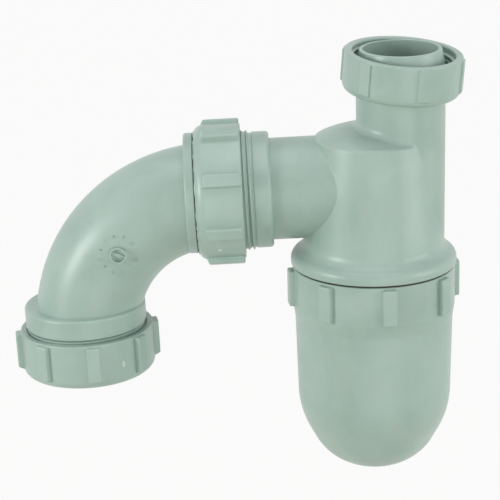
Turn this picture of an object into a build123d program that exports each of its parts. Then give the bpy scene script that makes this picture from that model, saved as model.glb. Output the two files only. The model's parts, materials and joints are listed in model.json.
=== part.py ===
# Bottle trap with an S outlet: a moulded body with an off-centre inlet neck, a screw-on bowl,
# a swivelling outlet bend and three ribbed nuts. Millimetres, +Z up.
# The origin is the centre of the neck's top rim, and the outlet runs towards -X.
import os
from math import asin, atan2, cos, degrees, hypot, radians, sin, sqrt, tan

from build123d import *

# Clearances and small breaks shared by the pieces
seat_gap = 0.05
sliding_clearance = 0.3
thread_clearance = 0.8
edge_break = 0.5
thread_relief = 0.7
thread_chamfer = 0.8

# Inlet neck, with a tapered nose and a bead that keeps the nut on
neck_bore = 17.2
neck_wall = 3.2
neck_draft = 0.3
neck_sump = 1.2
neck_floor = 2.3
nose_wall = 1.5
nose_taper = 1.3
nose_mid_depth = 6.5
nose_mid_round = 6.0
nose_rim_round = 0.4
nose_bead = 0.9
nose_bead_depth = 11.4
nose_bead_height = 1.2
nose_bead_slope = 1.0

# Body: a tapering drum under a shallow dome, as tall as the outlet needs, with the neck along its side
rim_depth = 40.8
rim_round = 1.6
dome_height = 6.0
dome_share = 0.875
body_wall = 2.8
body_taper = 6.2
neck_proud = 0.1
neck_blend = 3.5
root_step = 0.7
root_height = 7.65
root_round = 6.0
flange_width = 4.7
flange_height = 4.6
flange_round = 4.0

# Skirt for the bowl's thread, and the dip tube that makes the water seal
skirt_radius = 33.7
skirt_wall = 2.7
skirt_length = 14.0
dip_offset = 3.0
dip_step = 1.4
dip_wall = 2.2
water_seal = 75.1

# Outlet: a tube that falls a little towards its end
outlet_bore = 20.4
outlet_wall = 3.0
outlet_fall = 1.75
outlet_above_rim = 1.2
outlet_above_root = 6.2
outlet_collar_start = 46.9
outlet_collar_length = 7.9
outlet_collar_step = 3.3
outlet_collar_round = 1.6
outlet_stop_depth = 2.6
outlet_thread_length = 13.7
outlet_relief_length = 2.2

# Compression joint at either end of the bend: socket, thread, seal, slip ring and nut
socket_step = 1.4
socket_wall = 5.2
socket_cone = 3.8
seal_nose_wall = 1.35
seal_nose_round = 0.3
seal_back_round = 0.4
seal_length = 8.0
slip_ring_thickness = 1.5
nut_length = 21.4
nut_wall = 3.2
nut_lip = 3.0
nut_end_round = 4.2
nut_rib_count = 8
nut_rib_height = 2.5
nut_rib_width = 6.2
nut_rib_slope = 1.4
nut_rib_round = 0.9
nut_rib_set_back = 3.0
outlet_nut_room = 2.6
outlet_nut_turn = -20.0
pipe_nut_room = 1.5
pipe_nut_turn = -8.6

# Bend, with a ring against the outlet nut and a collar over its own thread
stop_ring_gap = 0.35
stop_ring_length = 4.3
stop_ring_step = 0.7
stop_ring_round = 0.9
spigot_wall = 2.5
spigot_end_gap = 2.7
outlet_leg = 50.8
pipe_leg = 49.9
bend_radius = 60.0
bend_offset = 2.5
bend_step = 0.5
bend_wall = 3.2
pipe_collar_height = 9.4
pipe_collar_step = 1.2
pipe_collar_round = 1.2
pipe_thread_length = 11.6
pipe_relief_length = 1.6
pipe_stop = 1.6

# Bowl and its flat seal
bowl_seal_thickness = 0.9
bowl_seal_clearance = 0.25
bowl_seal_inset = 1.2
bowl_rim_inset = 0.7
bowl_depth = 99.25
bowl_wall = 2.6
bowl_collar_height = 19.0
bowl_collar_step = 0.95
bowl_taper_length = 6.0
bowl_taper_round = 4.0
bowl_draft = 1.15
bowl_flank_height = 27.9
bowl_flank_run = 15.0
bowl_knee_share = 0.325
bowl_foot_share = 0.508
bowl_thread_room = 3.0
bowl_rib_count = 8
bowl_rib_turn = 7.2
bowl_rib_height = 2.6
bowl_rib_width = 6.6
bowl_rib_top = 0.9
bowl_rib_set_back = 0.5
bowl_rib_round = 0.8

# Inlet nut, which hangs loose on the neck and leans
inlet_nut_hang = 6.45
inlet_nut_lean_right = 4.6
inlet_nut_lean_front = 3.2
inlet_nut_height = 18.6
inlet_nut_lip = 3.0
inlet_nut_bead_room = 1.35
inlet_nut_wall = 3.4
inlet_nut_end_round = 3.4
inlet_nut_rib_count = 6
inlet_nut_rib_turn = 17.5
inlet_nut_rib_height = 0.8
inlet_nut_rib_width = 6.0
inlet_nut_rib_top = 0.8
inlet_nut_rib_set_back = 2.3
inlet_nut_rib_round = 0.4

# Radii and levels that follow from the sizes above
neck_radius = neck_bore + neck_wall
neck_low_radius = neck_radius - neck_draft
nose_top_radius = neck_bore + nose_wall
nose_mid_radius = nose_top_radius + nose_taper
nose_bead_radius = neck_radius + nose_bead
nose_bead_z = -nose_bead_depth - nose_bead_height
nose_end_z = nose_bead_z - nose_bead_slope

root_radius = skirt_radius - root_step
rim_radius = root_radius - body_taper
flange_radius = skirt_radius + flange_width
skirt_bore = skirt_radius - skirt_wall
outlet_radius = outlet_bore + outlet_wall
outlet_collar_radius = outlet_radius + outlet_collar_step
body_x = neck_radius - root_radius - neck_proud
rim_z = -rim_depth
outlet_z = rim_z - outlet_radius + outlet_above_rim
root_z = outlet_z - outlet_radius - outlet_above_root
flange_z = root_z - root_height
skirt_end_z = flange_z - skirt_length
dome_knee = (rim_radius ** 2 + dome_height ** 2) / (2 * rim_radius)
dome_round = dome_share * (rim_radius ** 2 + dome_height ** 2) / (2 * dome_height)
neck_end_z = root_z - neck_sump
neck_floor_z = neck_end_z - neck_floor
dip_x = -dip_offset
dip_bore = neck_bore - dip_step
dip_radius = dip_bore + dip_wall
dip_end_z = outlet_z - outlet_bore - water_seal

socket_radius = outlet_bore + socket_step
socket_mouth_radius = socket_radius + socket_cone
thread_radius = socket_radius + socket_wall
spigot_radius = socket_radius - sliding_clearance
spigot_bore = spigot_radius - spigot_wall
seal_bore = socket_radius + seat_gap
seal_nose_radius = seal_bore + seal_nose_wall
slip_ring_bore = seal_bore + sliding_clearance
nut_lip_hole = slip_ring_bore + seat_gap
nut_bore = thread_radius + thread_clearance
seal_radius = nut_bore - sliding_clearance - thread_relief
nut_radius = nut_bore + nut_wall
nut_rib_radius = nut_radius + nut_rib_height

# A nut stands back by its room from where the seal's nose would meet the socket's cone.
seal_seat = socket_mouth_radius - seal_nose_radius
nut_stack = seal_length + slip_ring_thickness + 2 * seat_gap
outlet_stop = outlet_collar_start + outlet_stop_depth
outlet_collar_end = outlet_collar_start + outlet_collar_length
outlet_mouth = outlet_collar_end + outlet_thread_length
outlet_seal_nose = outlet_mouth - seal_seat + outlet_nut_room
outlet_nut_start = outlet_seal_nose + nut_stack + nut_lip - nut_length
pipe_mouth = pipe_collar_height + pipe_thread_length
pipe_seal_nose = pipe_mouth - seal_seat + pipe_nut_room
pipe_nut_start = pipe_seal_nose + nut_stack + nut_lip - nut_length

stop_ring_start = outlet_nut_start + nut_length + stop_ring_gap
stop_ring_end = stop_ring_start + stop_ring_length
stop_ring_radius = thread_radius + stop_ring_step
spigot_start = outlet_stop + spigot_end_gap
corner_distance = stop_ring_end + outlet_leg
bend_bore = socket_radius - bend_step
bend_tube_radius = bend_bore + bend_wall
pipe_collar_radius = thread_radius + pipe_collar_step

bowl_top_z = flange_z - bowl_seal_thickness - 2 * seat_gap
bowl_bottom_z = bowl_top_z - bowl_depth
bowl_knee_z = bowl_bottom_z + bowl_flank_height
bowl_rim_radius = flange_radius - bowl_rim_inset
bowl_radius = bowl_rim_radius - bowl_collar_step
bowl_low_radius = bowl_radius - bowl_draft
bowl_foot_radius = bowl_low_radius - bowl_flank_run
bowl_thread_bore = skirt_radius + thread_clearance
bowl_rib_radius = bowl_rim_radius + bowl_rib_height

lean_right = sin(radians(inlet_nut_lean_right))
lean_front = sin(radians(inlet_nut_lean_front))
lean = asin(hypot(lean_right, lean_front))
inlet_nut_bottom_z = nose_end_z - inlet_nut_hang
bead_shift = (-nose_bead_depth - inlet_nut_bottom_z) * tan(lean)
inlet_nut_hole = (neck_radius + inlet_nut_lip / 2 * sin(lean) + sliding_clearance) / cos(lean)
inlet_nut_bore = nose_bead_radius + bead_shift + inlet_nut_bead_room
inlet_nut_radius = inlet_nut_bore + inlet_nut_wall
inlet_nut_rib_radius = inlet_nut_radius + inlet_nut_rib_height


def profile(points):
    # Closed outline in the radius and height plane; a third value rounds that corner.
    starts = []
    ends = []
    mids = []
    count = len(points)
    for i in range(count):
        x, z = points[i][0], points[i][1]
        size = points[i][2] if len(points[i]) > 2 else 0.0
        if size == 0.0:
            starts.append((x, z))
            ends.append((x, z))
            mids.append(None)
            continue
        px, pz = points[i - 1][0] - x, points[i - 1][1] - z
        nx, nz = points[(i + 1) % count][0] - x, points[(i + 1) % count][1] - z
        p_len = hypot(px, pz)
        n_len = hypot(nx, nz)
        px, pz, nx, nz = px / p_len, pz / p_len, nx / n_len, nz / n_len
        bx, bz = px + nx, pz + nz
        b_len = hypot(bx, bz)
        half_cos = b_len / 2
        half_sin = sqrt(1 - half_cos * half_cos)
        run = size * half_cos / half_sin
        reach = size / half_sin - size
        starts.append((x + px * run, z + pz * run))
        ends.append((x + nx * run, z + nz * run))
        mids.append((x + bx / b_len * reach, z + bz / b_len * reach))
    edges = []
    for i in range(count):
        if mids[i] is not None:
            edges.append(ThreePointArc(starts[i], mids[i], ends[i]))
        after = starts[(i + 1) % count]
        if hypot(after[0] - ends[i][0], after[1] - ends[i][1]) > 1e-6:
            edges.append(Line(ends[i], after))
    return make_face(edges)


def turned(points):
    return revolve(Plane.XZ * profile(points), Axis.Z)


def rod(radius, low, high):
    return Pos(0, 0, low) * Cylinder(radius, high - low, align=(Align.CENTER, Align.CENTER, Align.MIN))


def ribs(count, turn, width, round_size, points):
    # Ribs round a nut or bowl: a radius and height outline, as wide as the rib, with its long edges rounded.
    blade = extrude(Plane.XZ * profile(points), width / 2, both=True)
    blade = fillet(blade.edges().filter_by(Axis.Z).group_by(Axis.X)[-1], round_size)
    return [Rot(0, 0, turn + i * 360 / count) * blade for i in range(count)]


# Frames along the outlet and along the elbow's lower leg: local X looks to the front
fall = radians(outlet_fall)
outlet_dir = Vector(-cos(fall), 0, -sin(fall))
down_dir = Vector(sin(fall), 0, -cos(fall))
outlet_frame = Plane(origin=(body_x, 0, outlet_z), x_dir=(0, -1, 0), z_dir=outlet_dir)
corner = Vector(body_x, 0, outlet_z) + outlet_dir * corner_distance
pipe_frame = Plane(origin=corner + down_dir * pipe_leg, x_dir=(0, -1, 0), z_dir=down_dir)
elbow_frame = Plane(origin=corner, x_dir=-outlet_dir, z_dir=-down_dir)


def make_body():
    shell = turned([
        (0, rim_z + dome_height),
        (0, skirt_end_z),
        (skirt_radius - thread_chamfer, skirt_end_z),
        (skirt_radius, skirt_end_z + thread_chamfer),
        (skirt_radius, flange_z),
        (flange_radius, flange_z, edge_break),
        (flange_radius, flange_z + flange_height, flange_round),
        (root_radius, root_z, root_round),
        (rim_radius, rim_z, rim_round),
        (dome_knee, rim_z + dome_height, dome_round),
    ])
    cavity = turned([
        (0, rim_z + dome_height - body_wall),
        (0, skirt_end_z - 1),
        (skirt_bore, skirt_end_z - 1),
        (skirt_bore, flange_z + flange_height / 2),
        (root_radius - body_wall, root_z + body_wall),
        (rim_radius - body_wall, rim_z - body_wall),
        (dome_knee, rim_z + dome_height - body_wall),
    ])
    neck = turned([
        (0, nose_bead_z),
        (neck_radius, nose_bead_z),
        (neck_low_radius, neck_floor_z),
        (0, neck_floor_z),
    ])
    nose = turned([
        (0, 0),
        (nose_top_radius, 0, nose_rim_round),
        (nose_mid_radius, -nose_mid_depth, nose_mid_round),
        (nose_bead_radius, -nose_bead_depth, edge_break),
        (nose_bead_radius, nose_bead_z, edge_break),
        (neck_low_radius, nose_end_z),
        (0, nose_end_z),
    ])
    dip = Pos(dip_x, 0, 0) * rod(dip_radius, dip_end_z, neck_end_z - neck_floor / 2)
    outlet = outlet_frame * turned([
        (0, 0),
        (outlet_radius, 0),
        (outlet_radius, outlet_collar_start),
        (outlet_collar_radius, outlet_collar_start, outlet_collar_round),
        (outlet_collar_radius, outlet_collar_end, edge_break),
        (thread_radius - thread_relief, outlet_collar_end),
        (thread_radius - thread_relief, outlet_collar_end + outlet_relief_length),
        (thread_radius, outlet_collar_end + outlet_relief_length + thread_relief),
        (thread_radius, outlet_mouth - thread_chamfer),
        (thread_radius - thread_chamfer, outlet_mouth),
        (0, outlet_mouth),
    ])
    outlet_way = outlet_frame * turned([
        (0, rim_radius / 2),
        (outlet_bore, rim_radius / 2),
        (outlet_bore, outlet_stop),
        (socket_radius, outlet_stop),
        (socket_radius, outlet_mouth - socket_cone),
        (socket_mouth_radius, outlet_mouth),
        (socket_mouth_radius, outlet_mouth + 1),
        (0, outlet_mouth + 1),
    ])
    inside = Pos(body_x, 0, 0) * cavity + outlet_way
    # The neck runs down one side of the body, and a soft blend joins them outside.
    shell = Pos(body_x, 0, 0) * shell
    outside = shell + neck
    outside = fillet(new_edges(shell, neck, combined=outside), neck_blend)
    body = outside + outlet - inside
    body = body + neck + nose + dip
    body = body - rod(neck_bore, neck_end_z, 1)
    return body - Pos(dip_x, 0, 0) * rod(dip_bore, dip_end_z - 1, root_z)


def make_bowl():
    shoulder_z = bowl_top_z - bowl_collar_height
    flank = hypot(bowl_flank_run, bowl_flank_height)
    rise = bowl_flank_height / flank
    run = bowl_flank_run / flank
    # Each round takes its share of the sloping flank.
    knee_round = bowl_knee_share * flank * (1 + rise) / run
    foot_round = bowl_foot_share * flank * (1 + run) / rise
    outer = turned([
        (0, bowl_top_z),
        (bowl_rim_radius, bowl_top_z, edge_break),
        (bowl_rim_radius, shoulder_z, bowl_taper_round),
        (bowl_radius, shoulder_z - bowl_taper_length, bowl_taper_round),
        (bowl_low_radius, bowl_knee_z, knee_round),
        (bowl_foot_radius, bowl_bottom_z, foot_round),
        (0, bowl_bottom_z),
    ])
    rib_top = bowl_top_z - bowl_rib_top
    rib_end = shoulder_z + bowl_rib_set_back
    blade = [
        (bowl_radius - bowl_collar_step, rib_top),
        (bowl_rib_radius, rib_top, bowl_rib_round),
        (bowl_rib_radius, rib_end + edge_break, bowl_rib_round),
        (bowl_radius - bowl_collar_step, rib_end),
    ]
    for rib in ribs(bowl_rib_count, bowl_rib_turn - 90, bowl_rib_width, bowl_rib_round, blade):
        outer = outer + rib
    # The inside follows the outside at the wall's thickness, with a plain bore for the thread on top.
    foot_in = bowl_wall * (1 - run) / rise
    knee_up = bowl_wall * (1 - rise) / run
    thread_end_z = skirt_end_z - bowl_thread_room
    inner = turned([
        (0, bowl_top_z + 1),
        (bowl_thread_bore, bowl_top_z + 1),
        (bowl_thread_bore, thread_end_z),
        (bowl_radius - bowl_wall, thread_end_z - 2 * edge_break),
        (bowl_low_radius - bowl_wall, bowl_knee_z + knee_up, knee_round - bowl_wall),
        (bowl_foot_radius - foot_in, bowl_bottom_z + bowl_wall, foot_round - bowl_wall),
        (0, bowl_bottom_z + bowl_wall),
    ])
    return Pos(body_x, 0, 0) * (outer - inner)


def make_bowl_seal():
    top = flange_z - seat_gap
    ring = rod(flange_radius - bowl_seal_inset, top - bowl_seal_thickness, top)
    ring = ring - rod(skirt_radius + bowl_seal_clearance, top - bowl_seal_thickness - 1, top + 1)
    return Pos(body_x, 0, 0) * ring


def make_elbow():
    # The bend cuts the corner: one arc whose ends lie a little inside the axes of the two legs.
    start = (outlet_leg, -bend_offset)
    end = (bend_offset, -pipe_leg)
    middle = ((start[0] + end[0]) / 2, (start[1] + end[1]) / 2)
    chord = hypot(start[0] - end[0], start[1] - end[1])
    reach = sqrt(bend_radius ** 2 - chord ** 2 / 4)
    centre_x = middle[0] + (start[1] - end[1]) / chord * reach
    centre_z = middle[1] - (start[0] - end[0]) / chord * reach
    # It runs on into the ring and the collar, where it is cut off square.
    run_on = asin(min(1, max(stop_ring_length, pipe_collar_height) * 2 / bend_radius))
    first = atan2(end[1] - centre_z, end[0] - centre_x) + run_on
    turn = 2 * asin(chord / 2 / bend_radius) + 2 * run_on
    section = Plane(
        origin=(centre_x + bend_radius * cos(first), 0, centre_z + bend_radius * sin(first)),
        x_dir=(cos(first), 0, sin(first)),
        z_dir=(-sin(first), 0, cos(first)),
    )
    arc_axis = Axis((centre_x, 0, centre_z), (0, 1, 0))
    size = 4 * corner_distance
    box = Box(size, size, size, align=(Align.MAX, Align.CENTER, Align.MIN))
    tube_room = Pos(outlet_leg + stop_ring_length - 0.2, 0, 0.2 - pipe_leg - pipe_collar_height) * box
    way_room = Pos(outlet_leg + stop_ring_length / 2, 0, -pipe_leg - pipe_stop - edge_break) * box
    tube = revolve(section * Circle(bend_tube_radius), arc_axis, degrees(turn)) & tube_room
    way = revolve(section * Circle(bend_bore), arc_axis, degrees(turn)) & way_room
    spigot = outlet_frame * turned([
        (0, spigot_start),
        (spigot_radius - thread_chamfer, spigot_start),
        (spigot_radius, spigot_start + thread_chamfer),
        (spigot_radius, stop_ring_start),
        (stop_ring_radius, stop_ring_start, edge_break),
        (stop_ring_radius, stop_ring_end, stop_ring_round),
        (0, stop_ring_end),
    ])
    socket = pipe_frame * turned([
        (0, 0),
        (pipe_collar_radius, 0, pipe_collar_round),
        (pipe_collar_radius, pipe_collar_height, edge_break),
        (thread_radius - thread_relief, pipe_collar_height),
        (thread_radius - thread_relief, pipe_collar_height + pipe_relief_length),
        (thread_radius, pipe_collar_height + pipe_relief_length + thread_relief),
        (thread_radius, pipe_mouth - thread_chamfer),
        (thread_radius - thread_chamfer, pipe_mouth),
        (0, pipe_mouth),
    ])
    spigot_way = outlet_frame * rod(spigot_bore, spigot_start - 1, stop_ring_end - 2 * edge_break)
    socket_way = pipe_frame * turned([
        (0, pipe_stop),
        (socket_radius, pipe_stop),
        (socket_radius, pipe_mouth - socket_cone),
        (socket_mouth_radius, pipe_mouth),
        (socket_mouth_radius, pipe_mouth + 1),
        (0, pipe_mouth + 1),
    ])
    return elbow_frame * tube + spigot + socket - elbow_frame * way - spigot_way - socket_way


def make_nut(turn):
    nut = turned([
        (nut_lip_hole, nut_length),
        (nut_radius, nut_length, nut_end_round),
        (nut_radius, 0, edge_break),
        (nut_bore + edge_break, 0),
        (nut_bore, edge_break),
        (nut_bore, nut_length - nut_lip),
        (nut_lip_hole, nut_length - nut_lip),
    ])
    root = nut_bore + nut_wall / 2
    rib_end = nut_length - nut_rib_set_back
    blade = [
        (root, edge_break),
        (nut_rib_radius, edge_break, nut_rib_round),
        (nut_rib_radius, rib_end - nut_rib_slope, nut_rib_round),
        (nut_radius - edge_break, rib_end),
        (root, rib_end),
    ]
    for rib in ribs(nut_rib_count, turn, nut_rib_width, nut_rib_round, blade):
        nut = nut + rib
    return nut


def make_seal():
    # Rubber cone ring, with its nose at height 0 and its back face on top.
    return turned([
        (seal_bore, 0),
        (seal_nose_radius, 0, seal_nose_round),
        (seal_radius, seal_radius - seal_nose_radius),
        (seal_radius, seal_length, seal_back_round),
        (seal_bore, seal_length),
    ])


def make_slip_ring():
    ring = rod(seal_radius, 0, slip_ring_thickness)
    return ring - rod(slip_ring_bore, -1, slip_ring_thickness + 1)


def make_inlet_nut():
    nut = turned([
        (inlet_nut_hole, 0),
        (inlet_nut_radius, 0, inlet_nut_end_round),
        (inlet_nut_radius, inlet_nut_height, edge_break),
        (inlet_nut_bore + edge_break, inlet_nut_height),
        (inlet_nut_bore, inlet_nut_height - edge_break),
        (inlet_nut_bore, inlet_nut_lip),
        (inlet_nut_hole, inlet_nut_lip),
    ])
    root = inlet_nut_bore + inlet_nut_wall / 2
    rib_top = inlet_nut_height - inlet_nut_rib_top
    rib_end = inlet_nut_rib_set_back
    blade = [
        (root, rib_top),
        (inlet_nut_rib_radius, rib_top, inlet_nut_rib_round),
        (inlet_nut_rib_radius, rib_end + 2 * edge_break, inlet_nut_rib_round),
        (inlet_nut_radius - edge_break, rib_end),
        (root, rib_end),
    ]
    blades = ribs(inlet_nut_rib_count, inlet_nut_rib_turn, inlet_nut_rib_width, inlet_nut_rib_round, blade)
    for rib in blades:
        nut = nut + rib
    return nut


lean_dir = Vector(lean_right, -lean_front, cos(lean))
lean_x = Vector(0, -1, 0)
lean_x = (lean_x - lean_dir * lean_x.dot(lean_dir)).normalized()
inlet_nut_frame = Plane(origin=(0, 0, inlet_nut_bottom_z), x_dir=lean_x, z_dir=lean_dir)

slip_start = seal_length + seat_gap
nodes = {
    "trap_body": make_body(),
    "bowl": make_bowl(),
    "bowl_seal": make_bowl_seal(),
    "elbow": make_elbow(),
    "outlet_nut": outlet_frame * Pos(0, 0, outlet_nut_start) * make_nut(outlet_nut_turn),
    "outlet_seal": outlet_frame * Pos(0, 0, outlet_seal_nose) * make_seal(),
    "outlet_slip_ring": outlet_frame * Pos(0, 0, outlet_seal_nose + slip_start) * make_slip_ring(),
    "pipe_nut": pipe_frame * Pos(0, 0, pipe_nut_start) * make_nut(pipe_nut_turn),
    "pipe_seal": pipe_frame * Pos(0, 0, pipe_seal_nose) * make_seal(),
    "pipe_slip_ring": pipe_frame * Pos(0, 0, pipe_seal_nose + slip_start) * make_slip_ring(),
    "inlet_nut": inlet_nut_frame * make_inlet_nut(),
}

os.makedirs("parts", exist_ok=True)
for name, shape in nodes.items():
    solids = shape.solids()
    print(name, len(solids), round(shape.volume), shape.is_valid)
    export_step(solids[0], "parts/" + name + ".step")
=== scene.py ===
import json
import math

import bpy
from mathutils import Matrix, Vector


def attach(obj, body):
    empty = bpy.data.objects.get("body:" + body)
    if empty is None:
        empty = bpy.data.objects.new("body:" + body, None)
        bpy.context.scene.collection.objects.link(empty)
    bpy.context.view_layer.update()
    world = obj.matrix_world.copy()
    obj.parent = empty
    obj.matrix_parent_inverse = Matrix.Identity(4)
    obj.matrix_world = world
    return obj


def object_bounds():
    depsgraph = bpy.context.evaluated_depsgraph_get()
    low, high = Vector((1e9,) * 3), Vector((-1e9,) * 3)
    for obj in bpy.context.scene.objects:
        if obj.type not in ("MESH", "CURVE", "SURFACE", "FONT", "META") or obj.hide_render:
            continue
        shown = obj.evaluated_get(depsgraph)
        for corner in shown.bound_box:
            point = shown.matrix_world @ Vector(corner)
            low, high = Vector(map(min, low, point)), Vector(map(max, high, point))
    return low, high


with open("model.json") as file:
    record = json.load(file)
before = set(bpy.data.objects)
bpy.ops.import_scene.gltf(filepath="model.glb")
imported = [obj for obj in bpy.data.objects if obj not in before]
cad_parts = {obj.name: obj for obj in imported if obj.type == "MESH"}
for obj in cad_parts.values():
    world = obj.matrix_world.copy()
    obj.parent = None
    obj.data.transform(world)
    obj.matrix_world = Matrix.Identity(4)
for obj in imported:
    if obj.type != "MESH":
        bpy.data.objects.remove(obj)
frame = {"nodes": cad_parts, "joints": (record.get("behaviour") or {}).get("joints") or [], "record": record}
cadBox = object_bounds()
mm = 0.001                    # Blender works in metres, and the sizes below are in millimetres
print("frame loaded:", len(frame["nodes"]), "nodes")

# Tools for the pieces


def deselectAll():
    if bpy.context.object and bpy.context.object.mode != "OBJECT":
        bpy.ops.object.mode_set(mode="OBJECT")
    bpy.ops.object.select_all(action="DESELECT")


def editMode():
    bpy.ops.object.mode_set(mode="EDIT")
    bpy.ops.mesh.select_mode(type="VERT")


def objectMode():
    bpy.ops.object.mode_set(mode="OBJECT")


def selectWhere(piece, test):
    # picks vertices by their place, and leaves the piece in edit mode
    objectMode()
    for vertex in piece.data.vertices:
        vertex.select = test(vertex.co)
    for edge in piece.data.edges:
        edge.select = all(piece.data.vertices[i].select for i in edge.vertices)
    for face in piece.data.polygons:
        face.select = all(piece.data.vertices[i].select for i in face.vertices)
    editMode()


def applyModifier(piece, kind, **settings):
    modifier = piece.modifiers.new(kind.title(), kind)
    for name, value in settings.items():
        setattr(modifier, name, value)
    bpy.ops.object.modifier_apply(modifier=modifier.name)


def placeMesh(piece, matrix):
    # the place goes into the mesh, so the object stays at the origin
    piece.matrix_world = matrix
    bpy.ops.object.transform_apply(location=True, rotation=True, scale=True)


def surfaceFrame(point, normal, upwards):
    # Z along the surface normal, Y as near to upwards as the surface allows
    z = Vector(normal).normalized()
    x = Vector(upwards).cross(z).normalized()
    y = z.cross(x)
    matrix = Matrix((x, y, z)).transposed().to_4x4()
    matrix.translation = Vector(point) * mm
    return matrix


def jointFrame(jointName):
    joint = next(j for j in frame["joints"] if j["name"] == jointName)
    front = Vector((0, -1, 0))
    z = Vector(joint["axis"]).normalized()
    x = (front - z * front.dot(z)).normalized()
    y = z.cross(x)
    matrix = Matrix((x, y, z)).transposed().to_4x4()
    matrix.translation = Vector(joint["pos_m"])
    return matrix


# Materials


def hexColour(text):
    # sRGB hex to the linear values that the shader takes
    channels = [int(text[i:i + 2], 16) / 255 for i in (1, 3, 5)]
    linear = [c / 12.92 if c <= 0.04045 else ((c + 0.055) / 1.055) ** 2.4 for c in channels]
    return (*linear, 1.0)


def patternScale(sizeInMm):
    return 1000 / sizeInMm


def addNode(tree, kind, values=None, links=None, **settings):
    node = tree.nodes.new(kind)
    for name, value in settings.items():
        setattr(node, name, value)
    for socket, value in (values or {}).items():
        node.inputs[socket].default_value = value
    for socket, source in (links or {}).items():
        tree.links.new(source, node.inputs[socket])
    return node


def newMaterial(name):
    material = bpy.data.materials.new(name)
    material.use_nodes = True
    tree = material.node_tree
    return material, tree, tree.nodes["Principled BSDF"]


plasticLook = {
    "dark": "#9BB4AA",
    "pale": "#ACC3BA",
    "warm": "#ABBCB3",
    # paler colour painted on the rounded edges as a highlight
    "edgeHighlight": "#BFD2C9",
    "cloudSize": 34,              # mm, soft clouds of pigment
    "cloudRange": (0.3, 0.7),
    "streakSize": 7,              # mm, across the flow of the melt
    "streakRange": (0.42, 0.75),
    "streakShare": 0.5,
    "flowSqueeze": 0.22,          # the streaks run along the height
    "edgeRadius": 0.45,           # mm
    "edgeRange": (0.99, 0.86),    # how far the rounded edge has turned away, as a cosine
    "edgeShare": 0.6,
    "waveSize": 14,               # mm, sink and ripple of the wall
    "waveDepth": 0.12,            # mm
    "waveStrength": 0.35,
    "grainSize": 0.9,             # mm, spark-eroded grain is near 0.2, drawn coarser so that it shows
    "grainDepth": 0.02,           # mm
    "grainStrength": 0.25,
    "roughness": (0.27, 0.43),
    "ior": 1.49,
}


def mouldedPolypropylene():
    # injection-moulded polypropylene: a satin skin, soft wide highlights, clouded pigment, and a painted
    # highlight along the rounded edges
    look = plasticLook
    material, tree, shader = newMaterial("mouldedPolypropylene")
    place = addNode(tree, "ShaderNodeTexCoord").outputs["Object"]
    clouds = addNode(tree, "ShaderNodeTexNoise",
                     {"Scale": patternScale(look["cloudSize"]), "Detail": 4.0, "Roughness": 0.55,
                      "Distortion": 0.6},
                     {"Vector": place})
    cloudTone = addNode(tree, "ShaderNodeMapRange",
                        {"From Min": look["cloudRange"][0], "From Max": look["cloudRange"][1]},
                        {"Value": clouds.outputs["Fac"]})
    flow = addNode(tree, "ShaderNodeMapping", {"Scale": (1.0, 1.0, look["flowSqueeze"])}, {"Vector": place})
    streaks = addNode(tree, "ShaderNodeTexNoise",
                      {"Scale": patternScale(look["streakSize"]), "Detail": 3.0},
                      {"Vector": flow.outputs["Vector"]})
    streakTone = addNode(tree, "ShaderNodeMapRange",
                         {"From Min": look["streakRange"][0], "From Max": look["streakRange"][1],
                          "To Max": look["streakShare"]},
                         {"Value": streaks.outputs["Fac"]})
    tint = addNode(tree, "ShaderNodeMixRGB",
                   {"Color1": hexColour(look["dark"]), "Color2": hexColour(look["pale"])},
                   {"Fac": cloudTone.outputs["Result"]})
    warmed = addNode(tree, "ShaderNodeMixRGB", {"Color2": hexColour(look["warm"])},
                     {"Fac": streakTone.outputs["Result"], "Color1": tint.outputs["Color"]})
    # painted highlight: where the rounded edge turns away from the flat face, the colour is mixed paler
    rounded = addNode(tree, "ShaderNodeBevel", {"Radius": look["edgeRadius"] * mm}, samples=6)
    flat = addNode(tree, "ShaderNodeNewGeometry")
    turnAway = addNode(tree, "ShaderNodeVectorMath", None,
                       {0: rounded.outputs["Normal"], 1: flat.outputs["Normal"]}, operation="DOT_PRODUCT")
    edge = addNode(tree, "ShaderNodeMapRange",
                   {"From Min": look["edgeRange"][0], "From Max": look["edgeRange"][1],
                    "To Max": look["edgeShare"]},
                   {"Value": turnAway.outputs["Value"]})
    colour = addNode(tree, "ShaderNodeMixRGB", {"Color2": hexColour(look["edgeHighlight"])},
                     {"Fac": edge.outputs["Result"], "Color1": warmed.outputs["Color"]})
    gloss = addNode(tree, "ShaderNodeMapRange",
                    {"To Min": look["roughness"][0], "To Max": look["roughness"][1]},
                    {"Value": streaks.outputs["Fac"]})
    waves = addNode(tree, "ShaderNodeTexNoise", {"Scale": patternScale(look["waveSize"]), "Detail": 1.0},
                    {"Vector": place})
    grain = addNode(tree, "ShaderNodeTexNoise", {"Scale": patternScale(look["grainSize"]), "Detail": 2.0},
                    {"Vector": place})
    waveBump = addNode(tree, "ShaderNodeBump",
                       {"Strength": look["waveStrength"], "Distance": look["waveDepth"] * mm},
                       {"Height": waves.outputs["Fac"], "Normal": rounded.outputs["Normal"]})
    grainBump = addNode(tree, "ShaderNodeBump",
                        {"Strength": look["grainStrength"], "Distance": look["grainDepth"] * mm},
                        {"Height": grain.outputs["Fac"], "Normal": waveBump.outputs["Normal"]})
    tree.links.new(colour.outputs["Color"], shader.inputs["Base Color"])
    tree.links.new(gloss.outputs["Result"], shader.inputs["Roughness"])
    tree.links.new(grainBump.outputs["Normal"], shader.inputs["Normal"])
    shader.inputs["IOR"].default_value = look["ior"]
    return material


rubberLook = {
    "deep": "#161615",
    "dusty": "#2B2B29",
    "dustSize": 5,          # mm
    "grainSize": 0.6,       # mm
    "grainDepth": 0.03,     # mm
    "grainStrength": 0.3,
    "roughness": (0.6, 0.8),
    "ior": 1.52,
}


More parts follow.
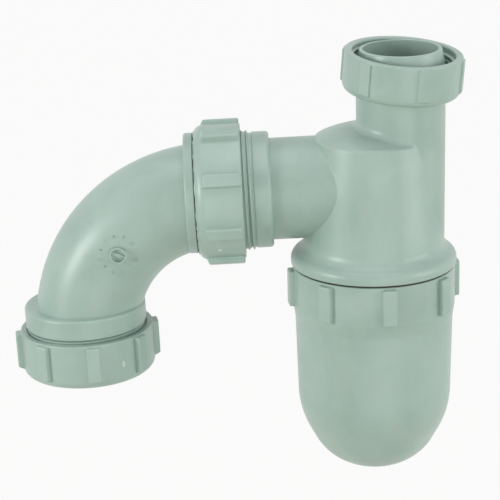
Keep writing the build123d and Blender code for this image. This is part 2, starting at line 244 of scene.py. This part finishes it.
def mouldedRubber():
    # moulded black rubber: dull, almost no highlight, with a little grey bloom
    look = rubberLook
    material, tree, shader = newMaterial("mouldedRubber")
    place = addNode(tree, "ShaderNodeTexCoord").outputs["Object"]
    dust = addNode(tree, "ShaderNodeTexNoise", {"Scale": patternScale(look["dustSize"]), "Detail": 5.0},
                   {"Vector": place})
    colour = addNode(tree, "ShaderNodeMixRGB",
                     {"Color1": hexColour(look["deep"]), "Color2": hexColour(look["dusty"])},
                     {"Fac": dust.outputs["Fac"]})
    grain = addNode(tree, "ShaderNodeTexNoise", {"Scale": patternScale(look["grainSize"])},
                    {"Vector": place})
    bump = addNode(tree, "ShaderNodeBump",
                   {"Strength": look["grainStrength"], "Distance": look["grainDepth"] * mm},
                   {"Height": grain.outputs["Fac"]})
    gloss = addNode(tree, "ShaderNodeMapRange",
                    {"To Min": look["roughness"][0], "To Max": look["roughness"][1]},
                    {"Value": dust.outputs["Fac"]})
    tree.links.new(colour.outputs["Color"], shader.inputs["Base Color"])
    tree.links.new(gloss.outputs["Result"], shader.inputs["Roughness"])
    tree.links.new(bump.outputs["Normal"], shader.inputs["Normal"])
    shader.inputs["IOR"].default_value = look["ior"]
    return material


ringLook = {
    "milky": "#D8D8CC",
    "yellowed": "#CFCBB6",
    "cloudSize": 9,         # mm
    "cutSize": 0.5,         # mm, marks of the knife
    "cutDepth": 0.02,       # mm
    "cutStrength": 0.2,
    "roughness": (0.35, 0.5),
    "ior": 1.51,
}


def naturalPolyethylene():
    # uncoloured polyethylene, cut from tube: waxy, milky white, with fine marks of the cut
    look = ringLook
    material, tree, shader = newMaterial("naturalPolyethylene")
    place = addNode(tree, "ShaderNodeTexCoord").outputs["Object"]
    clouds = addNode(tree, "ShaderNodeTexNoise", {"Scale": patternScale(look["cloudSize"]), "Detail": 3.0},
                     {"Vector": place})
    colour = addNode(tree, "ShaderNodeMixRGB",
                     {"Color1": hexColour(look["milky"]), "Color2": hexColour(look["yellowed"])},
                     {"Fac": clouds.outputs["Fac"]})
    marks = addNode(tree, "ShaderNodeTexNoise", {"Scale": patternScale(look["cutSize"])}, {"Vector": place})
    bump = addNode(tree, "ShaderNodeBump",
                   {"Strength": look["cutStrength"], "Distance": look["cutDepth"] * mm},
                   {"Height": marks.outputs["Fac"]})
    gloss = addNode(tree, "ShaderNodeMapRange",
                    {"To Min": look["roughness"][0], "To Max": look["roughness"][1]},
                    {"Value": clouds.outputs["Fac"]})
    tree.links.new(colour.outputs["Color"], shader.inputs["Base Color"])
    tree.links.new(gloss.outputs["Result"], shader.inputs["Roughness"])
    tree.links.new(bump.outputs["Normal"], shader.inputs["Normal"])
    shader.inputs["IOR"].default_value = look["ior"]
    return material


# cloudSize in mm
whitenedLook = {"pale": "#B9CBC2", "paler": "#D6E1DA", "cloudSize": 1.2, "roughness": 0.6, "ior": 1.49}


def whitenedPolypropylene():
    # where the sprue was broken off: the same plastic, whitened by the strain and a little rougher
    look = whitenedLook
    material, tree, shader = newMaterial("whitenedPolypropylene")
    place = addNode(tree, "ShaderNodeTexCoord").outputs["Object"]
    clouds = addNode(tree, "ShaderNodeTexNoise", {"Scale": patternScale(look["cloudSize"])},
                     {"Vector": place})
    colour = addNode(tree, "ShaderNodeMixRGB",
                     {"Color1": hexColour(look["pale"]), "Color2": hexColour(look["paler"])},
                     {"Fac": clouds.outputs["Fac"]})
    tree.links.new(colour.outputs["Color"], shader.inputs["Base Color"])
    shader.inputs["Roughness"].default_value = look["roughness"]
    shader.inputs["IOR"].default_value = look["ior"]
    return material


slotMaterials = {
    "grey_green_plastic": mouldedPolypropylene(),
    "black_rubber": mouldedRubber(),
    "natural_plastic": naturalPolyethylene(),
}
for subpart in frame["record"]["subparts"]:
    node = frame["nodes"][subpart["node"]]
    for materialSlot in node.material_slots:
        materialSlot.material = slotMaterials[subpart["material_slot"]]
print("materials on the moulded pieces")


def finishPiece(piece, body, material=None):
    # every added piece is of the plastic that carries it, and whitened where a sprue was broken off
    piece.data.materials.clear()
    piece.data.materials.append(material or slotMaterials["grey_green_plastic"])
    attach(piece, body)
    return piece


# Screw threads: one flank outline swept along a helix round the joint's axis

threadMesh = {"stepsPerTurn": 72, "weld": 0.001, "smoothAngle": 25}    # weld in mm, angle in degrees


def threadRidge(name, thread, body):
    # a crest outside its root makes a male thread, and a crest inside it a female one
    deselectAll()
    root = thread["rootRadius"] * mm
    crest = thread["crestRadius"] * mm
    base = thread["baseWidth"] * mm
    tip = thread["crestWidth"] * mm
    start = thread["start"] * mm
    middle = (root + crest) / 2
    bpy.ops.mesh.primitive_plane_add(size=1, rotation=(math.pi / 2, 0, 0))
    piece = bpy.context.object
    piece.name = name
    bpy.ops.object.transform_apply(location=False, rotation=True, scale=False)
    editMode()
    bpy.ops.mesh.select_all(action="SELECT")
    bpy.ops.transform.resize(value=(abs(crest - root), 1, base), center_override=(0, 0, 0))
    bpy.ops.transform.translate(value=(middle, 0, start))
    selectWhere(piece, lambda co: (co.x > middle) == (crest > root))
    bpy.ops.transform.resize(value=(1, 1, tip / base), center_override=(crest, 0, start))
    bpy.ops.mesh.select_all(action="SELECT")
    bpy.ops.mesh.delete(type="ONLY_FACE")
    objectMode()
    steps = round(thread["turns"] * threadMesh["stepsPerTurn"])
    applyModifier(piece, "SCREW", axis="Z", angle=thread["turns"] * 2 * math.pi,
                  screw_offset=thread["turns"] * thread["pitch"] * mm, steps=steps, render_steps=steps)
    editMode()
    bpy.ops.mesh.select_all(action="SELECT")
    bpy.ops.mesh.remove_doubles(threshold=threadMesh["weld"] * mm)
    # the two open ends of the ridge are closed by a face each
    bpy.ops.mesh.select_all(action="DESELECT")
    bpy.ops.mesh.select_non_manifold()
    bpy.ops.mesh.fill_holes(sides=4)
    bpy.ops.mesh.select_all(action="SELECT")
    bpy.ops.mesh.normals_make_consistent(inside=False)
    objectMode()
    bpy.ops.object.shade_smooth_by_angle(angle=math.radians(threadMesh["smoothAngle"]))
    placeMesh(piece, jointFrame(thread["joint"]))
    return finishPiece(piece, body)


# lengths in mm: start is where the first turn begins, along the joint's axis from the joint's own point,
# and a nut's ridge runs half a turn off the one that it screws on to
pipePitch = 2.309             # 11 turns to the inch
bowlPitch = 4.0
outletThread = {"joint": "outlet_nut_screw", "rootRadius": 26.2, "crestRadius": 27.6, "baseWidth": 1.5,
                "crestWidth": 0.35, "pitch": pipePitch, "turns": 5.4, "start": 2.0}
outletNutThread = dict(outletThread, rootRadius=27.9, crestRadius=27.1, baseWidth=1.2, turns=4.0,
                       start=outletThread["start"] - pipePitch * 1.5)
bendThread = {"joint": "pipe_nut_screw", "rootRadius": 26.2, "crestRadius": 27.6, "baseWidth": 1.4,
              "crestWidth": 0.5, "pitch": pipePitch, "turns": 4.4, "start": 0.25}
pipeNutThread = dict(bendThread, rootRadius=27.9, crestRadius=27.1, baseWidth=1.2, turns=4.0,
                     start=bendThread["start"] - pipePitch * 0.5)
inletNutThread = {"joint": "inlet_nut_spin", "rootRadius": 23.7, "crestRadius": 22.45, "baseWidth": 1.9,
                  "crestWidth": 0.45, "pitch": pipePitch, "turns": 5.0, "start": -3.0}
skirtThread = {"joint": "bowl_screw", "rootRadius": 33.5, "crestRadius": 34.3, "baseWidth": 2.0,
               "crestWidth": 1.1, "pitch": bowlPitch, "turns": 1.7, "start": 3.4}
bowlThread = {"joint": "bowl_screw", "rootRadius": 34.7, "crestRadius": 33.9, "baseWidth": 1.8,
              "crestWidth": 0.9, "pitch": bowlPitch, "turns": 2.2, "start": 5.4}
threadRidge("outletThread", outletThread, "trap")
threadRidge("outletNutThread", outletNutThread, "outlet_nut")
threadRidge("bendThread", bendThread, "elbow")
threadRidge("pipeNutThread", pipeNutThread, "pipe_nut")
threadRidge("inletNutThread", inletNutThread, "inlet_nut")
threadRidge("skirtThread", skirtThread, "trap")
threadRidge("bowlThread", bowlThread, "bowl")
print("threads cut")

# Marks of the mould

# shares are of the mark's own height, the rim's is of its radius, and the angle is in degrees
gateShape = {"sides": 24, "roundShare": 0.4, "roundSteps": 3, "rimShare": 0.3, "dishShare": 0.35,
             "smoothAngle": 40}


def gateMark(name, mark, body):
    # the stub left where the melt came in: a low round button, turned in at its top
    shape = gateShape
    top = mark["height"] * mm
    deselectAll()
    bpy.ops.mesh.primitive_cylinder_add(vertices=shape["sides"], radius=mark["radius"] * mm, depth=2 * top)
    piece = bpy.context.object
    piece.name = name
    selectWhere(piece, lambda co: co.z > 0)
    bpy.ops.mesh.bevel(offset=top * shape["roundShare"], segments=shape["roundSteps"])
    selectWhere(piece, lambda co: co.z > top * 0.99)    # the flat top that the rounding leaves
    bpy.ops.mesh.inset(thickness=mark["radius"] * shape["rimShare"] * mm)
    bpy.ops.transform.translate(value=(0, 0, -top * shape["dishShare"]))
    bpy.ops.mesh.select_all(action="SELECT")
    bpy.ops.transform.resize(value=(1, mark["stretch"], 1), center_override=(0, 0, 0))
    objectMode()
    bpy.ops.object.shade_smooth_by_angle(angle=math.radians(shape["smoothAngle"]))
    placeMesh(piece, surfaceFrame(mark["place"], mark["normal"], mark["upwards"]))
    return finishPiece(piece, body, brokenSprue)


brokenSprue = whitenedPolypropylene()
# sizes and places in mm: on the nuts as the photograph shows them, and at the middle of the bowl's foot
outletNutGate = {"radius": 1.1, "height": 0.3, "stretch": 0.8, "place": (-83.62, -23.01, -85.95),
                 "normal": (0.02, -0.753, -0.658), "upwards": (0, 0, 1)}
pipeNutGate = {"radius": 0.75, "height": 0.3, "stretch": 2.1, "place": (-129.48, -25.44, -139.06),
               "normal": (0.577, -0.816, 0.017), "upwards": (0, 0, 1)}
bowlGate = {"radius": 2.4, "height": 0.5, "stretch": 1.0, "place": (-12.7, 0, -200.5),
            "normal": (0, 0, -1), "upwards": (0, 1, 0)}
gateMark("outletNutGate", outletNutGate, "outlet_nut")
gateMark("pipeNutGate", pipeNutGate, "pipe_nut")
gateMark("bowlGate", bowlGate, "bowl")

# a moulder's date dial on the bend, in mm: a pointer in a ring, and plain numbers faintly round it
dateDial = {"place": (-129.75, -24.48, -86.61), "normal": (0, -1, 0), "upwards": (0.95, 0, -0.31),
            "pointerRing": (3.0, 3.8), "arrowLength": 5.8, "arrowWidth": 1.7, "insertRaise": 0.85,
            "numberRadius": 8.4, "numberSize": 2.6, "numberRaise": 0.09, "months": 12,
            "sink": 1.0, "ringSides": 72, "weld": 0.005}
# shares of the arrow's length, and bluntness is the share of its width that the point keeps
arrowShape = {"barShare": 0.65, "pointShare": 0.35, "bluntness": 0.25}


def flatRing(inner, outer):
    deselectAll()
    bpy.ops.mesh.primitive_circle_add(vertices=dateDial["ringSides"], radius=outer * mm)
    editMode()
    bpy.ops.mesh.select_all(action="SELECT")
    bpy.ops.mesh.extrude_region()
    ratio = inner / outer
    bpy.ops.transform.resize(value=(ratio, ratio, 1), center_override=(0, 0, 0))
    objectMode()
    return bpy.context.object


def flatArrow(length, width):
    # a bar whose upper end tapers to a blunt point
    shape = arrowShape
    deselectAll()
    bpy.ops.mesh.primitive_plane_add(size=1)
    piece = bpy.context.object
    editMode()
    bpy.ops.mesh.select_all(action="SELECT")
    bpy.ops.transform.resize(value=(width * mm, length * shape["barShare"] * mm, 1),
                             center_override=(0, 0, 0))
    bpy.ops.transform.translate(value=(0, -length * shape["pointShare"] / 2 * mm, 0))
    selectWhere(piece, lambda co: co.y > 0)
    bpy.ops.mesh.extrude_region()
    bpy.ops.transform.translate(value=(0, length * shape["pointShare"] * mm, 0))
    bpy.ops.transform.resize(value=(shape["bluntness"], 1, 1), center_override=(0, 0, 0))
    objectMode()
    return piece


def flatNumber(text, size, radius, angle):
    deselectAll()
    bpy.ops.object.text_add()
    piece = bpy.context.object
    piece.data.body = text
    piece.data.size = size * mm
    piece.data.align_x = "CENTER"
    piece.data.align_y = "CENTER"
    bpy.ops.object.convert(target="MESH")
    piece = bpy.context.object
    turn = Matrix.Rotation(-angle, 4, "Z") @ Matrix.Translation((0, radius * mm, 0))
    placeMesh(piece, turn)
    return piece


def raisedOnBend(name, parts, rise):
    # flat outlines become one low relief on the bend's curved wall
    dial = dateDial
    deselectAll()
    for part in parts:
        part.select_set(True)
    bpy.context.view_layer.objects.active = parts[0]
    bpy.ops.object.join()
    piece = bpy.context.object
    piece.name = name
    editMode()
    bpy.ops.mesh.select_all(action="SELECT")
    bpy.ops.mesh.quads_convert_to_tris()
    bpy.ops.mesh.remove_doubles(threshold=dial["weld"] * mm)
    bpy.ops.mesh.normals_make_consistent(inside=False)
    objectMode()
    placeMesh(piece, surfaceFrame(dial["place"], dial["normal"], dial["upwards"]))
    applyModifier(piece, "SHRINKWRAP", target=frame["nodes"]["elbow"],
                  wrap_method="NEAREST_SURFACEPOINT", wrap_mode="ABOVE_SURFACE", offset=rise * mm)
    applyModifier(piece, "SOLIDIFY", thickness=dial["sink"] * mm, offset=-1)
    return finishPiece(piece, "elbow")


def mouldDateDial(dial):
    # the pointer is moulded off a separate insert, so it is crisper than the months round it
    insert = [flatRing(*dial["pointerRing"]), flatArrow(dial["arrowLength"], dial["arrowWidth"])]
    raisedOnBend("dialInsert", insert, dial["insertRaise"])
    months = []
    for month in range(1, dial["months"] + 1):
        angle = month / dial["months"] * 2 * math.pi
        months.append(flatNumber(str(month), dial["numberSize"], dial["numberRadius"], angle))
    raisedOnBend("dialMonths", months, dial["numberRaise"])


mouldDateDial(dateDial)
print("mould marks on")

# Flash, in mm: a thin ragged fin that stands up from the closed end of the outlet nut
nutFlash = {"joint": "outlet_nut_screw", "radius": 28.3, "end": -10.8, "rise": 0.55, "depth": 0.2,
            "ragged": 0.26, "points": 90, "seed": 7}


def raggedFlash(flash):
    deselectAll()
    bpy.ops.mesh.primitive_circle_add(vertices=flash["points"], radius=flash["radius"] * mm,
                                      location=(0, 0, flash["end"] * mm))
    piece = bpy.context.object
    piece.name = "nutFlash"
    bpy.ops.object.transform_apply(location=True, rotation=False, scale=False)
    editMode()
    bpy.ops.mesh.select_all(action="SELECT")
    bpy.ops.mesh.extrude_region()
    bpy.ops.transform.translate(value=(0, 0, -flash["rise"] * mm))
    bpy.ops.transform.vertex_random(offset=flash["ragged"] * mm, uniform=1.0, normal=0.0,
                                    seed=flash["seed"])
    objectMode()
    applyModifier(piece, "SOLIDIFY", thickness=flash["depth"] * mm, offset=0)
    placeMesh(piece, jointFrame(flash["joint"]))
    return finishPiece(piece, "outlet_nut")


raggedFlash(nutFlash)
print("flash on the outlet nut")

# Light, floor and camera

# the trap hangs from its inlet, so the floor lies well below: drop in mm, size in metres
floorLook = {"drop": 550, "size": 40.0, "colour": "#CCCABB", "roughness": 0.9, "whiteShare": 0.94}


def whiteForTheEye(tree, shaded, whiteKind, target, share):
    # camera, mirror and glass rays see plain white, and what is left of the share keeps the shadow
    path = addNode(tree, "ShaderNodeLightPath")
    seen = addNode(tree, "ShaderNodeMath", None,
                   {0: path.outputs["Is Camera Ray"], 1: path.outputs["Is Glossy Ray"]},
                   operation="MAXIMUM")
    seen = addNode(tree, "ShaderNodeMath", None,
                   {0: seen.outputs[0], 1: path.outputs["Is Transmission Ray"]}, operation="MAXIMUM")
    part = addNode(tree, "ShaderNodeMath", {1: share}, {0: seen.outputs[0]}, operation="MULTIPLY")
    white = addNode(tree, whiteKind, {"Color": (1, 1, 1, 1), "Strength": 1.0})
    mix = addNode(tree, "ShaderNodeMixShader", None,
                  {0: part.outputs[0], 1: shaded.outputs[0], 2: white.outputs[0]})
    tree.links.new(mix.outputs[0], target)


def paperFloor():
    look = floorLook
    deselectAll()
    height = cadBox[0].z - look["drop"] * mm
    bpy.ops.mesh.primitive_plane_add(size=look["size"], location=(0, 0, height))
    floor = bpy.context.object
    floor.name = "paperFloor"
    material, tree, shader = newMaterial("whitePaper")
    shader.inputs["Base Color"].default_value = hexColour(look["colour"])
    shader.inputs["Roughness"].default_value = look["roughness"]
    surface = tree.nodes["Material Output"].inputs["Surface"]
    whiteForTheEye(tree, shader, "ShaderNodeEmission", surface, look["whiteShare"])
    floor.data.materials.append(material)


roomLight = {"colour": "#FFFFFF", "strength": 0.38, "whiteShare": 1.0}


def whiteRoom():
    world = bpy.data.worlds.new("whiteRoom")
    bpy.context.scene.world = world
    world.use_nodes = True
    tree = world.node_tree
    ambient = tree.nodes["Background"]
    ambient.inputs["Color"].default_value = hexColour(roomLight["colour"])
    ambient.inputs["Strength"].default_value = roomLight["strength"]
    surface = tree.nodes["World Output"].inputs["Surface"]
    whiteForTheEye(tree, ambient, "ShaderNodeBackground", surface, roomLight["whiteShare"])


# places and sizes in metres, power in watts
lamps = {
    "leftPanel": {"place": (-1.25, -0.65, 0.17), "size": 0.45, "power": 8.5},
    "rightPanel": {"place": (1.15, -0.45, 0.1), "size": 0.8, "power": 6.7},
    "frontPanel": {"place": (0.25, -1.3, -0.22), "size": 1.0, "power": 3.6},
    "topPanel": {"place": (-0.1, 0.0, 1.0), "size": 0.9, "power": 3.8},
}


def softLamps():
    middle = (cadBox[0] + cadBox[1]) / 2
    for name, lamp in lamps.items():
        deselectAll()
        bpy.ops.object.light_add(type="AREA", location=lamp["place"])
        light = bpy.context.object
        light.name = name
        light.data.size = lamp["size"]
        light.data.energy = lamp["power"]
        light.rotation_euler = (middle - light.location).to_track_quat("-Z", "Y").to_euler()


# fitted to the photograph: focal length in pixels of its 500 pixel frame, degrees and millimetres
photoCamera = {"frame": 500, "focal": 2061, "pitch": 18.15, "roll": 1.45, "distance": 957.0,
               "aim": (-70.05, 0, -93.85), "sensor": 36}


def addCamera():
    view = photoCamera
    deselectAll()
    bpy.ops.object.camera_add()
    camera = bpy.context.object
    camera.data.sensor_width = view["sensor"]
    camera.data.lens = view["focal"] / view["frame"] * view["sensor"]
    tilt = Matrix.Rotation(math.radians(90 - view["pitch"]), 4, "X")
    turn = tilt @ Matrix.Rotation(math.radians(-view["roll"]), 4, "Z")
    back = turn @ Vector((0, 0, view["distance"] * mm))
    camera.matrix_world = Matrix.Translation(Vector(view["aim"]) * mm + back) @ turn
    bpy.context.scene.camera = camera


paperFloor()
whiteRoom()
softLamps()
addCamera()
bpy.context.scene.view_settings.view_transform = "Standard"
print("light, floor and camera in place")
